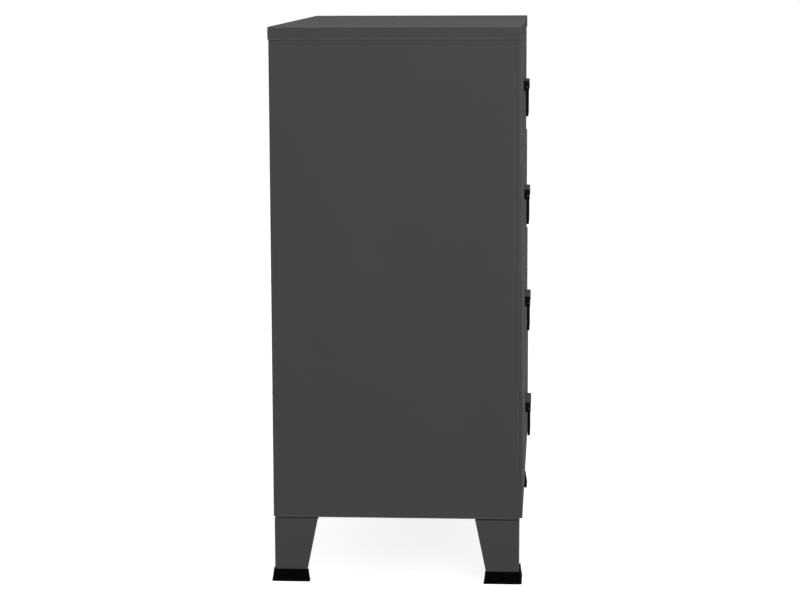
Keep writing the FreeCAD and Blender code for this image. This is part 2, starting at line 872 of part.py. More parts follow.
def make_bail(row):
    """A bail: a flat bar bent into a U, with a pin through each lug at the top of each arm."""
    top, bottom, pivot_z, pivot_y = bracket_places(row)
    thick = size("bail_thick")
    outer = size("bracket_width") / 2 - size("lug_width") - size("bail_play")
    arm = size("bail_arm")
    low = pivot_z - size("bail_reach")
    high = pivot_z + size("bail_head")
    back = pivot_y - thick / 2
    body = new_body(f"bail_{row}")
    pad(body, "XZ_Plane", back, thick, [
        (-outer, low), (outer, low), (outer, high), (outer - arm, high),
        (outer - arm, low + arm), (arm - outer, low + arm), (arm - outer, high), (-outer, high),
    ])
    round_edges(body, size("bail_corner"), lambda edge: straight_along(edge, "y") and at(edge, "z", low))
    inner_round = size("bail_corner") - arm
    round_edges(body, inner_round, lambda edge: straight_along(edge, "y") and at(edge, "z", low + arm))
    round_edges(body, size("bail_edge_round"), lambda edge: is_long_face_edge(edge, back, thick, high))
    pins = []
    for side in (-1, 1):
        toward = "+X" if side > 0 else "-X"
        reach = pin_length + arm / 2
        start = ((outer - arm / 2) * side, pivot_y, pivot_z)
        pins.append(rod(f"bail_pin_{row}", size("pin_radius"), reach, toward, start))
    return joined(f"bail_{row}_pinned", [body] + pins)


def is_long_face_edge(edge, back, thick, high):
    """True for the edges along the bar, on its front or back face, and not across an arm's end."""
    on_face = at(edge, "y", back) or at(edge, "y", back + thick)
    return on_face and not at(edge, "z", high)


def make_screw(name, radius, length, head_radius, head_height, toward, seat):
    """A screw whose head rests on its seat, with the shank toward one direction and a socket in the head."""
    away = {"+": "-", "-": "+"}[toward[0]] + toward[1]
    shank = rod(name + "_shank", radius, length, toward, seat)
    head = rod(name + "_head", head_radius, head_height, away, seat)
    solid = joined(name + "_solid", [shank, head])
    axis = "XYZ".index(toward[1])
    depth = size("socket_depth")
    step = head_height + overrun if away[0] == "+" else -(head_height + overrun)
    start = list(seat)
    start[axis] = start[axis] + step
    socket = rod(name + "_socket", size("socket_radius"), depth + overrun, toward, start)
    return without(name + "_socketed", solid, [socket])


def make_handle_screws(row):
    """The two screws that hold a bracket, their heads inside the drawer front."""
    top, bottom, pivot_z, pivot_y = bracket_places(row)
    seat_y = face_plane(row) + size("front_gauge")
    length = size("front_gauge") + size("handle_screw_length")
    screws = []
    for side in (-1, 1):
        seat = (handle_screw_x() * side, seat_y, top - size("handle_screw_drop"))
        screws.append(make_screw(f"handle_screw_{row}", size("handle_screw_radius"), length,
                                 size("handle_head_radius"), size("handle_head_height"), "-Y", seat))
    return group(f"handle_screws_{row}", screws)


# Screws and bolts of the body

def back_screw_places(side):
    """A column of screws along one edge of the back."""
    margin = size("panel_screw_margin")
    low = floor_top + margin * 2
    step = (lid_bottom - margin * 2 - low) / (BACK_SCREWS - 1)
    return [((side_plane - margin) * side, low + step * i) for i in range(BACK_SCREWS)]


def lid_screw_place(side):
    """One screw through the lid's rear flange at each post."""
    return (side_plane - size("panel_screw_margin")) * side, lid_bottom + size("lid_drop") / 2


def panel_screws(name, seat_y, places):
    """Screws driven forward from a seat at the rear."""
    screws = []
    for x, z in places:
        screws.append(make_screw(name, size("panel_screw_radius"), size("panel_screw_length"),
                                 size("panel_head_radius"), size("panel_head_height"), "-Y", (x, seat_y, z)))
    return group(name + "s", screws)


def drilled(name, piece, places):
    """A rear wall or flange with the holes of its screws."""
    start = rear_plane - gauge - overrun
    length = gauge + lid_rear_step + overrun * 2
    radius = size("panel_screw_radius") + size("screw_play")
    holes = [rod(name + "_hole", radius, length, "+Y", (x, start, z)) for x, z in places]
    return without(name + "_drilled", piece, holes)


def make_leg_bolts():
    """The bolts of the legs, heads below the leg plates."""
    seat_z = floor_top - size("floor_gauge") - size("leg_gauge")
    length = size("leg_gauge") + size("floor_gauge") + size("leg_nut_height") + size("leg_bolt_tail")
    bolts = []
    for x, y in leg_bolt_places():
        bolts.append(make_screw("leg_bolt", size("leg_bolt_radius"), length, size("leg_head_radius"),
                                size("leg_head_height"), "+Z", (x, y, seat_z)))
    return group("leg_bolts", bolts)


def make_leg_nuts():
    """The nuts of the legs, on the floor panel."""
    nuts = []
    for x, y in leg_bolt_places():
        hexagon = doc.addObject("Part::Prism", "leg_nut_blank")
        hexagon.Polygon = 6
        bind(hexagon, "Circumradius", size("leg_nut_radius"))
        bind(hexagon, "Height", size("leg_nut_height"))
        place(hexagon, x, y, floor_top)
        radius = size("leg_bolt_radius") + size("screw_play")
        start = (x, y, floor_top - overrun)
        bore = rod("leg_nut_bore", radius, size("leg_nut_height") + overrun * 2, "+Z", start)
        nuts.append(without("leg_nut", hexagon, [bore]))
    return group("leg_nuts", nuts)


# Every node of the cabinet, under the name that its file carries

left_screws = back_screw_places(-1)
right_screws = back_screw_places(1)
lid_screws = [lid_screw_place(-1), lid_screw_place(1)]
parts["top_panel"] = drilled("top_panel", make_lid(), lid_screws)
sides = (("left", -1, left_screws + lid_screws[:1]), ("right", 1, right_screws + lid_screws[1:]))
for side_name, side, screw_places in sides:
    panel = f"side_panel_{side_name}"
    parts[panel] = drilled(panel, make_side(panel, side), screw_places)
parts["bottom_panel"] = make_floor()
parts["back_panel"] = drilled("back_panel", make_back(), left_screws + right_screws + lid_screws)
parts["top_rail"] = make_top_rail()
for row in range(1, ROWS):
    parts[f"divider_rail_{row}"] = make_divider(row)
for end_name, end in (("front", -1), ("rear", 1)):
    for side_name, side in (("left", -1), ("right", 1)):
        leg = f"leg_{end_name}_{side_name}"
        parts[leg] = make_leg(leg, side, end)
        shoe = f"shoe_{end_name}_{side_name}"
        parts[shoe] = make_shoe(shoe, side, end)
parts["leg_bolts"] = make_leg_bolts()
parts["leg_nuts"] = make_leg_nuts()
back_seat = rear_plane + size("back_gauge")
parts["back_screws"] = panel_screws("back_screw", back_seat, left_screws + right_screws)
parts["lid_screws"] = panel_screws("lid_screw", rear_plane + lid_rear_step, lid_screws)
for row in range(1, ROWS + 1):
    parts[f"drawer_front_{row}"] = make_front(row)
    parts[f"drawer_box_{row}"] = make_box(row)
    parts[f"drawer_runners_{row}"] = make_drawer_runners(row)
    parts[f"cabinet_runners_{row}"] = make_cabinet_runners(row)
    parts[f"front_rollers_{row}"] = make_front_rollers(row)
    parts[f"rear_rollers_{row}"] = make_rear_rollers(row)
    parts[f"handle_bracket_{row}"] = make_bracket(row)
    parts[f"handle_screws_{row}"] = make_handle_screws(row)
    parts[f"bail_{row}"] = make_bail(row)

doc.recompute()
for item in doc.Objects:
    if "Invalid" in item.State or "Error" in item.State:
        raise ValueError(f"{item.Name} failed: {item.State}")
for label, item in parts.items():
    shape = item.Shape
    if shape.isNull() or not shape.isValid() or not shape.Solids:
        raise ValueError(f"{label} has no valid solid")
    item.Label = label

os.makedirs("parts", exist_ok=True)
whole = FreeCAD.BoundBox()
for label, item in parts.items():
    item.Shape.exportStep(os.path.join("parts", label + ".step"))
    box = item.Shape.BoundBox
    whole.add(box)
    measured = f"{box.XLength:.1f} x {box.YLength:.1f} x {box.ZLength:.1f} mm"
    print(f"{label}: {len(item.Shape.Solids)} solid(s), {measured}")
print(f"whole: x {whole.XMin:.2f} to {whole.XMax:.2f}, y {whole.YMin:.2f} to {whole.YMax:.2f}")
print(f"whole: z {whole.ZMin:.2f} to {whole.ZMax:.2f}")
print(f"{len(parts)} nodes")
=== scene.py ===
# %% [markdown]
# # Dressing a sheet-steel drawer cabinet
#
# The cabinet is already built as a construction model: folded panels, four drawers on roller runners,
# tapered legs in plastic shoes and a drop handle on each front. This lesson turns it into a picture that
# looks like the real thing. It sets the camera and the light, works out the few pieces whose real surfaces
# are too soft for a construction model, and gives every piece a paint, plating or plastic of its own.

import json

import bmesh
import bpy
import numpy as np
from mathutils import Matrix, Vector

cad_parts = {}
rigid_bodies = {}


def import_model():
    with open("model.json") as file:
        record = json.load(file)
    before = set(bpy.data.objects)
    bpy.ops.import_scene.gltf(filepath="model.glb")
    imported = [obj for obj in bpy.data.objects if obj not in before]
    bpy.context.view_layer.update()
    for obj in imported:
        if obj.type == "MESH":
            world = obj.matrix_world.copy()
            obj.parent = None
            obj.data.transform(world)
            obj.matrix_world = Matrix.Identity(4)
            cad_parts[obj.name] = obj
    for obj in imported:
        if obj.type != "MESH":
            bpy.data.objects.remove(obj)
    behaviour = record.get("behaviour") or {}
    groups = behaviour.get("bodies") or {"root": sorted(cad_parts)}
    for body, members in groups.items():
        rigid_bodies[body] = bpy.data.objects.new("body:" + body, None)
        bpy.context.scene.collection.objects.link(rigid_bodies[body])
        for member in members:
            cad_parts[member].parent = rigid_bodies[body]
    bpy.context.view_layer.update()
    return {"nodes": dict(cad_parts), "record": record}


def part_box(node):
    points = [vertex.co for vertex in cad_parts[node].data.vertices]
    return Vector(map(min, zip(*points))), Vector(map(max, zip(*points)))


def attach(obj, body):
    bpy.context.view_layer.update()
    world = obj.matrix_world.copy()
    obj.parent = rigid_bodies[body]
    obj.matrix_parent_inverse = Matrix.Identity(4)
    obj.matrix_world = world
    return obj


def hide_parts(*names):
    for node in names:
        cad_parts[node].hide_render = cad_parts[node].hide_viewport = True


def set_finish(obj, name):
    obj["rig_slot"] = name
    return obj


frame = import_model()
nodes = frame["nodes"]
scene = bpy.context.scene
MM = 0.001

# %% [markdown]
# ## Camera
#
# The cabinet is seen almost square on to its left side, from a little in front of it and from just above
# its lid. A long lens far away keeps the sides nearly parallel, and the eye height decides how much of the
# lid shows. The direction is written as a turn, a tilt and a slight roll, because these are what a
# photographer would set.

# %% Point the camera
EYE = Vector((-4136.0, -253.9, 1032.6)) * MM
TURN, TILT, ROLL = np.radians([3.84, -8.361, -0.207])
LENS = 103.30


def camera_axes(turn, tilt, roll):
    """Right, up and forward. Forward is +X turned about Z and tilted, and the roll turns the other two."""
    forward = Vector((np.cos(turn) * np.cos(tilt), np.sin(turn) * np.cos(tilt), np.sin(tilt)))
    level = Vector((np.sin(turn), -np.cos(turn), 0.0))
    upright = level.cross(forward)
    right = level * np.cos(roll) + upright * np.sin(roll)
    up = upright * np.cos(roll) - level * np.sin(roll)
    return right, up, forward


right, up, forward = camera_axes(TURN, TILT, ROLL)
camera = bpy.data.objects.new("camera", bpy.data.cameras.new("camera"))
scene.collection.objects.link(camera)
camera.data.lens = LENS
camera.data.sensor_width = 36.0
camera.data.clip_end = 200.0
turned = Matrix((right, up, -forward)).transposed().to_4x4()
camera.matrix_world = Matrix.Translation(EYE) @ turned
scene.camera = camera

# %% [markdown]
# ## Surfaces from arrays
#
# Every new piece in this lesson is a grid of points that numpy works out at once: a closed outline that is
# stacked by height, carried along a path or turned about an axis. One helper numbers the quads between
# neighbouring points, and one puts several such grids into a mesh. Writing them once keeps each later cell
# down to its own formula.

# %% Grids to meshes
def grid_quads(rings, around):
    """Quads of a grid of closed rings: each joins a point, its neighbour on the ring and both on the next."""
    i = np.arange(rings - 1)[:, None]
    j = np.arange(around)[None, :]
    here, there = i * around, (i + 1) * around
    beside = (j + 1) % around
    return np.stack([here + j, here + beside, there + beside, there + j], -1).reshape(-1, 4)


def outward(points, quads):
    """The quads, turned round if the solid they enclose has a negative volume."""
    a, b, c, d = (points[quads[:, k]] for k in range(4))
    volume = np.einsum("ij,ij->", a, np.cross(b, c)) + np.einsum("ij,ij->", a, np.cross(c, d))
    return quads if volume > 0 else quads[:, ::-1]


def make_piece(name, shells, body, slot, *stands_for):
    """One mesh of closed shells. A shell is an array of rings whose first and last close to a point."""
    points, quads, start = [], [], 0
    for rings in shells:
        flat = rings.reshape(-1, 3)
        shell_quads = outward(flat, grid_quads(rings.shape[0], rings.shape[1]))
        points.append(flat)
        quads.append(shell_quads + start)
        start += len(flat)
    points, quads = np.concatenate(points), np.concatenate(quads)
    mesh = bpy.data.meshes.new(name)
    mesh.from_pydata(points.tolist(), [], quads.tolist())
    mesh.update()
    mesh.shade_smooth()
    merge_doubles(mesh)
    piece = bpy.data.objects.new(name, mesh)
    scene.collection.objects.link(piece)
    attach(piece, body)
    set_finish(piece, slot)
    if stands_for:
        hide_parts(*stands_for)
    print(name, len(mesh.vertices), "points", len(mesh.polygons), "faces")
    return piece


def merge_doubles(mesh, distance=1e-6):
    """Closes the poles: the equal points of a pole become one."""
    work = bmesh.new()
    work.from_mesh(mesh)
    bmesh.ops.remove_doubles(work, verts=work.verts, dist=distance)
    bmesh.ops.dissolve_degenerate(work, edges=work.edges, dist=distance)
    work.to_mesh(mesh)
    work.free()


def rounded_outline(half_a, half_b, radius, steps=6):
    """A rectangle with round corners: each corner centre plus the radius times a quarter circle, in turn."""
    angle = np.linspace(0.0, np.pi / 2, steps)
    turns = (np.arange(4) * np.pi / 2)[:, None] + angle[None, :]
    centre_a = (half_a - radius) * np.array([1, -1, -1, 1])[:, None]
    centre_b = (half_b - radius) * np.array([1, 1, -1, -1])[:, None]
    return (centre_a + radius * np.cos(turns)).ravel(), (centre_b + radius * np.sin(turns)).ravel()


# %% [markdown]
# ## Shoes
#
# Each leg is a folded angle and stands in a moulded black shoe of the same L shape, which flares toward the
# floor so that the cabinet stands firmly and the sheet edge can't cut into the floor. A beveled block would
# give a hard, even chamfer. The moulded shape has soft corners and walls that curve outward, so it is
# worked out as a stack of rounded L outlines that grow as the height falls.

# %% Mould the shoes
SHOE_FLARE, SHOE_SPREAD, SHOE_ARM = 2.8 * MM, 2.4 * MM, 12.2 * MM
SHOE_ROUND = np.array([4.5, 1.0, 1.0, 1.5, 1.0, 1.0]) * MM


def soft_corners(corners, radius, steps=5):
    """Right-angled outlines with round corners: back along one side by the radius, forward along the next."""
    arriving = corners - np.roll(corners, 1, axis=-2)
    leaving = np.roll(corners, -1, axis=-2) - corners
    u = (arriving / np.linalg.norm(arriving, axis=-1, keepdims=True))[..., None, :]
    v = (leaving / np.linalg.norm(leaving, axis=-1, keepdims=True))[..., None, :]
    angle = np.linspace(0.0, np.pi / 2, steps)[:, None]
    r = radius[..., None, None]
    soft = corners[..., None, :] - r * u * (1 - np.sin(angle)) + r * v * (1 - np.cos(angle))
    return soft.reshape(*corners.shape[:-2], -1, 2)


def moulded_shoe(name):
    """L outlines stacked by height: the flare grows with the fall to the power 1.5, and both rims turn in."""
    low, high = (np.array(corner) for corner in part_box(name))
    tall = high[2] - low[2]
    facing = np.sign((low + high)[:2])
    floor_reach = np.where(facing > 0, high[:2], -low[:2])
    floor_tip = np.where(facing > 0, low[:2], -high[:2])
    rim, foot = 1.0 * MM, 0.6 * MM
    quarter, wall = np.linspace(0.0, np.pi / 2, 6), np.linspace(tall - rim, foot, 12)[1:-1]
    levels = [[tall], tall - rim * (1 - np.cos(quarter)), wall, foot * (1 - np.sin(quarter)), [0.0]]
    tucks = [[rim], rim * (1 - np.sin(quarter)), 0 * wall, foot * (1 - np.cos(quarter)), [foot]]
    z, pull = np.concatenate(levels), np.concatenate(tucks)[:, None]
    narrower = 1 - (1 - z[:, None] / tall) ** 1.5
    ox, oy = (floor_reach - SHOE_FLARE * narrower - pull).T
    tx, ty = (floor_tip + SHOE_SPREAD * narrower + pull).T
    ix, iy = (floor_reach - SHOE_ARM + SHOE_SPREAD * narrower + pull).T
    corners = np.stack([(ox, oy), (tx, oy), (tx, iy), (ix, iy), (ix, ty), (ox, ty)]).transpose(2, 0, 1)
    rounds = np.maximum(SHOE_ROUND - pull * np.array([1, 1, 1, -1, 1, 1]), 0.2 * MM)
    outlines = soft_corners(corners, rounds) * facing
    outlines[[0, -1]] = (floor_reach - SHOE_ARM / 2 - SHOE_FLARE / 2) * facing
    heights = np.broadcast_to(low[2] + z[:, None, None], (*outlines.shape[:2], 1))
    return np.concatenate([outlines, heights], axis=-1)


for name in [n for n in nodes if n.startswith("shoe_")]:
    make_piece(name.replace("shoe", "moulded_shoe"), [moulded_shoe(name)], "cabinet", "shoe_plastic", name)

# %% [markdown]
# ## Bails
#
# A bail is a flat bar bent into a U that hangs from two pins. A polygon with rounded edges would show
# facets in its bends, so the bar's own rounded section is carried along the line of the bend: two straight
# arms, two quarter circles and the straight grip between them. The ends close over softly, as filed metal
# does. The pins are plain black-plated wire that passes through the lugs of the bracket, so they are pieces
# of their own with another finish.

# %% Bend the bails
THICK, ARM, CORNER, SOFT_EDGE = 4.8 * MM, 5.0 * MM, 9.0 * MM, 1.8 * MM
PIN, PIN_RADIUS, PIN_RIM, ABOVE_PIN = 8.2 * MM, 1.5 * MM, 0.4 * MM, 1.8 * MM


def bail_line(half, top, bottom, bend, along_arm=8, along_bend=10, along_grip=12):
    """The middle line of a U in x and z, and its normals: down an arm, round a quarter circle, and along."""
    angle = np.linspace(0.0, np.pi / 2, along_bend)
    arm_z = np.linspace(top, bottom + bend, along_arm)
    grip_x = np.linspace(bend - half, half - bend, along_grip)
    straight, level = np.ones(along_arm), np.ones(along_grip)
    arm = np.stack([-half * straight, arm_z, straight, 0 * straight], -1)
    turn = np.stack([bend - half - bend * np.cos(angle), bottom + bend - bend * np.sin(angle),
                     np.cos(angle), np.sin(angle)], -1)
    grip = np.stack([grip_x, bottom * level, 0 * level, level], -1)
    half_line = np.concatenate([arm, turn[1:], grip[1:along_grip // 2]])
    mirrored = half_line[::-1] * np.array([-1, 1, -1, 1])
    return np.concatenate([half_line, mirrored])


def bail_bar(low, high):
    """The bar: line plus section. Its end rings shrink as a quarter circle does, to a closed, round end."""
    half = high.x - PIN - ARM / 2
    line = bail_line(half, high.z - THICK / 2, low.z + ARM / 2, CORNER - ARM / 2)
    across, depth = rounded_outline(ARM / 2, THICK / 2, SOFT_EDGE, steps=5)
    y = (low.y + high.y) / 2
    rings = line[:, None, :2] + line[:, None, 2:] * across[None, :, None]
    rings = np.stack([rings[..., 0], np.broadcast_to(y + depth, rings.shape[:2]), rings[..., 1]], -1)
    ends = np.linspace(np.pi / 2, 0.0, 6)[:-1]
    caps = []
    for ring, way in ((rings[0], 1.0), (rings[-1], -1.0)):
        middle = ring.mean(0)
        cap = middle + (ring - middle) * np.cos(ends)[:, None, None]
        cap[..., 2] += (np.sin(ends) * THICK / 2)[:, None]
        caps.append(cap[:: int(way)])
    return np.concatenate([caps[0], rings, caps[1]])


def pin(side, start, end, y, z, steps=16):
    """A pin along x: circles from the middle of the arm to the end, whose rim is a small quarter circle."""
    angle = np.linspace(0.0, 2 * np.pi, steps, endpoint=False)
    edge = np.linspace(0.0, np.pi / 2, 4)
    x = np.concatenate([[start], [start], end - PIN_RIM * (1 - np.sin(edge)), [end]])
    r = np.concatenate([[0.0], [PIN_RADIUS], PIN_RADIUS - PIN_RIM * (1 - np.cos(edge)), [0.0]])
    return np.stack([np.broadcast_to(side * x[:, None], (len(x), steps)),
                     y + r[:, None] * np.cos(angle), z + r[:, None] * np.sin(angle)], -1)


for row in range(1, 5):
    node = f"bail_{row}"
    low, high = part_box(node)
    make_piece(f"bent_{node}", [bail_bar(low, high)], node, "handle_paint", node)
    arm_end = high.x - PIN - ARM / 2, high.x, (low.y + high.y) / 2, high.z - ABOVE_PIN
    make_piece(f"pins_of_{node}", [pin(side, *arm_end) for side in (-1, 1)], node, "screw_black")

# %% [markdown]
# ## Screw heads
#
# The back and the lid's rear flange are held by low domed screws with a hexagon socket. A cylinder with a
# round hole would pass for a rivet, and a cut-out would leave sharp, unlit edges. One profile turned about
# the screw's axis gives the dome, its thin rim and the socket; in the socket the radius follows a hexagon
# instead of a circle.

# %% Turn the screw heads
HEAD_RADIUS, HEAD_HEIGHT, SHANK, SHANK_LENGTH, SOCKET = np.array([4.0, 1.2, 2.0, 8.0, 1.4]) * MM


def domed_screw(x, y, z):
    """Rings about the axis: radius and depth follow a profile, and a socket's radius is flat / cos(angle)."""
    around = np.linspace(0.0, 2 * np.pi, 36, endpoint=False)
    hexagon = np.cos(np.pi / 6) / np.cos((around + np.pi / 6) % (np.pi / 3) - np.pi / 6)
    dome = np.linspace(np.arcsin(0.42), np.pi / 2, 8)
    socket = np.array([0.0, 1.0, 1.0, 1.06]) * SOCKET
    r = np.concatenate([socket, HEAD_RADIUS * np.sin(dome), [HEAD_RADIUS] * 2, [SHANK] * 2, [0.0]])
    crown = 0.3 + 0.7 * (np.cos(dome) / np.cos(dome[0]))
    rise = np.concatenate([[0.4, 0.4, 0.95, 1.0], crown, [0.25, 0.0]]) * HEAD_HEIGHT
    out = np.concatenate([rise, [0.0, -SHANK_LENGTH, -SHANK_LENGTH]])
    six_sided = np.zeros(len(r))
    six_sided[:3] = 1.0
    reach = r[:, None] * (1 + six_sided[:, None] * (hexagon - 1))
    return np.stack([x + reach * np.cos(around), np.broadcast_to(y + out[:, None], reach.shape),
                     z + reach * np.sin(around)], -1)


for name, count in (("back_screws", 5), ("lid_screws", 1)):
    low, high = (np.array(corner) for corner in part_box(name))
    columns = (low[0] + HEAD_RADIUS, high[0] - HEAD_RADIUS)
    levels = np.linspace(low[2] + HEAD_RADIUS, high[2] - HEAD_RADIUS, count)
    heads = [domed_screw(x, high[1] - HEAD_HEIGHT, z) for x in columns for z in levels]
    make_piece(f"domed_{name}", heads, "cabinet", "screw_black", name)

# %% [markdown]
# ## Paint, in shared steps
#
# The sheet is powder coated: a fine satin texture with a faint unevenness, paler along a folded edge, where
# the coat thins and where a painted highlight stands in for the light the fold catches, and a pale tone where
# a face looks up, partly a trace of dust and partly painted light from above. These effects belong to more
# than one material, so each is a node group, built once, with the amounts as its inputs. A painted image
# would need a flat layout of every panel; patterns worked out in space need none and stay the same size on
# every piece.

# %% Node group helpers
def new_group(name, inputs, outputs):
    """A shader node group with its sockets, and its input and output nodes."""
    tree = bpy.data.node_groups.new(name, "ShaderNodeTree")
    for label, kind, value in inputs:
        socket = tree.interface.new_socket(label, in_out="INPUT", socket_type="NodeSocket" + kind)
        socket.default_value = value
    for label, kind in outputs:
        tree.interface.new_socket(label, in_out="OUTPUT", socket_type="NodeSocket" + kind)
    return tree, tree.nodes.new("NodeGroupInput"), tree.nodes.new("NodeGroupOutput")


def link(tree, *pairs):
    """Joins sockets, given as output and input in turn."""
    for source, target in zip(pairs[::2], pairs[1::2]):
        tree.links.new(source, target)


def math(tree, operation, a, b=0.0, clamp=False):
    """A Math node on two sockets or numbers; gives its output."""
    node = tree.nodes.new("ShaderNodeMath")
    node.operation = operation
    node.use_clamp = clamp
    for socket, value in zip(node.inputs, (a, b)):
        if isinstance(value, (int, float)):
            socket.default_value = value
        else:
            tree.links.new(value, socket)
    return node.outputs[0]


def noise(tree, scale, detail=2.0, roughness=0.5):
    """Noise over Object coordinates, which are metres on the cabinet; gives its 0 to 1 value."""
    place = tree.nodes.new("ShaderNodeTexCoord")
    node = tree.nodes.new("ShaderNodeTexNoise")
    node.inputs["Detail"].default_value = detail
    node.inputs["Roughness"].default_value = roughness
    if isinstance(scale, (int, float)):
        node.inputs["Scale"].default_value = scale
    else:
        tree.links.new(scale, node.inputs["Scale"])
    tree.links.new(place.outputs["Object"], node.inputs["Vector"])
    return node.outputs["Fac"]


# %% [markdown]
# ### Coat texture
#
# Powder coat isn't flat: close up it has a fine grain and a soft orange peel, and over a whole panel its
# colour and gloss wander a little. A single noise would give all of these one size. Four noises of
# different size are used instead: two for the relief, one for the colour and one for the gloss.

# %% Coat texture
def build_coat_texture():
    """Grain and peel for the bump, a slow drift of colour and a patchy gloss, all from noise in space."""
    tree, given, result = new_group("coat_texture", [
        ("Color", "Color", (0.05, 0.05, 0.05, 1)), ("Grain Scale", "Float", 900.0), ("Drift", "Float", 0.05),
        ("Roughness", "Float", 0.5), ("Gloss Spread", "Float", 0.08),
    ], [("Color", "Color"), ("Roughness", "Float"), ("Height", "Float")])
    grain = noise(tree, given.outputs["Grain Scale"], detail=3.0, roughness=0.6)
    peel = noise(tree, 210.0, detail=1.0)
    drift = noise(tree, 7.0, detail=3.0)
    patch = noise(tree, 34.0, detail=2.0)
    amount = math(tree, "MULTIPLY", math(tree, "SUBTRACT", drift, 0.5), given.outputs["Drift"])
    speckle = math(tree, "MULTIPLY", given.outputs["Drift"], 1.4)
    fleck = math(tree, "MULTIPLY", math(tree, "SUBTRACT", grain, 0.5), speckle)
    factor = math(tree, "ADD", 1.0, math(tree, "ADD", math(tree, "MULTIPLY", amount, 2.0), fleck))
    scaled = tree.nodes.new("ShaderNodeVectorMath")
    scaled.operation = "SCALE"
    link(tree, given.outputs["Color"], scaled.inputs[0], factor, scaled.inputs["Scale"], scaled.outputs[0],
         result.inputs["Color"])
    spread = math(tree, "MULTIPLY", math(tree, "SUBTRACT", patch, 0.5), given.outputs["Gloss Spread"])
    link(tree, math(tree, "ADD", given.outputs["Roughness"], spread, clamp=True), result.inputs["Roughness"])
    height = math(tree, "ADD", math(tree, "MULTIPLY", grain, 0.45), math(tree, "MULTIPLY", peel, 0.55))
    link(tree, height, result.inputs["Height"])
    return tree


coat_texture = build_coat_texture()
print("coat texture:", len(coat_texture.nodes), "nodes")

# %% [markdown]
# ### Edges, dust and painted light
#
# A coat draws back from a fold and looks paler there. The pale line is also a painted highlight that stands
# in for the light a fold catches. Dust settles on what looks up, and the pale tone there is also painted
# light from above. Painting both by hand would take an image for each panel. The shader can find them
# instead: an edge is where the softened normal leaves the true one, and a face looks up where the height of
# its normal is near one.

# %% Edge mask and dust
def build_edge_mask():
    """1 along convex and concave edges: one minus the dot product of the true normal and the softened one."""
    tree, given, result = new_group("edge_mask", [("Radius", "Float", 0.001)], [("Mask", "Float")])
    soft = tree.nodes.new("ShaderNodeBevel")
    soft.samples = 6
    true = tree.nodes.new("ShaderNodeNewGeometry")
    dot = tree.nodes.new("ShaderNodeVectorMath")
    dot.operation = "DOT_PRODUCT"
    link(tree, given.outputs["Radius"], soft.inputs["Radius"], soft.outputs["Normal"], dot.inputs[0],
         true.outputs["Normal"], dot.inputs[1])
    away = math(tree, "SUBTRACT", 1.0, dot.outputs["Value"], clamp=True)
    # The pale edge is partly wear, where the coat thins at a fold, and partly a painted highlight for the
    # light a fold catches.
    edge_breakup = math(tree, "ADD", 0.35, math(tree, "MULTIPLY", noise(tree, 60.0, detail=4.0), 0.6))
    wear_and_highlight = math(tree, "MULTIPLY", math(tree, "MULTIPLY", away, 4.0, clamp=True), edge_breakup)
    link(tree, wear_and_highlight, result.inputs["Mask"])
    return tree


def build_dust_and_top_light():
    """Dust and painted top light on faces that look up: the normal's z, sharpened, times a patchy noise."""
    tree, given, result = new_group("dust_and_top_light", [("Amount", "Float", 0.1)], [("Mask", "Float")])
    true = tree.nodes.new("ShaderNodeNewGeometry")
    split = tree.nodes.new("ShaderNodeSeparateXYZ")
    link(tree, true.outputs["Normal"], split.inputs[0])
    upward = math(tree, "POWER", math(tree, "MAXIMUM", split.outputs["Z"], 0.0), 3.0)
    patchy = math(tree, "ADD", 0.4, noise(tree, 11.0, detail=5.0, roughness=0.65))
    mask = math(tree, "MULTIPLY", math(tree, "MULTIPLY", upward, patchy), given.outputs["Amount"], clamp=True)
    link(tree, mask, result.inputs["Mask"])
    return tree


edge_mask = build_edge_mask()
dust_and_top_light = build_dust_and_top_light()
print("groups:", [g.name for g in bpy.data.node_groups])

# %% [markdown]
# ### One coated material
#
# Paint, enamel and moulded plastic differ only in colour, gloss and grain, so one function makes them all.
# At a grazing angle a smooth model shines more than a real coat, whose grain hides part of its gloss, and
# so the roughness rises where a face is seen edge on.

# %% Paint from the shared steps
def place_group(tree, group, **values):
    """A group node with its own values."""
    node = tree.nodes.new("ShaderNodeGroup")
    node.node_tree = group
    for label, value in values.items():
        node.inputs[label.replace("_", " ")].default_value = value
    return node


def mix_colors(tree, factor, a, b):
    """A colour between two, by a factor socket; the second may be a plain colour."""
    node = tree.nodes.new("ShaderNodeMix")
    node.data_type = "RGBA"
    link(tree, factor, node.inputs["Factor"], a, node.inputs["A"])
    if isinstance(b, tuple):
        node.inputs["B"].default_value = (*b, 1.0)
    else:
        link(tree, b, node.inputs["B"])
    return node.outputs["Result"]


# A pale colour for faces that look up: partly dust, partly painted light from above that makes the lid paler.
DUST_AND_TOP_LIGHT_COLOR = (0.30, 0.29, 0.27)


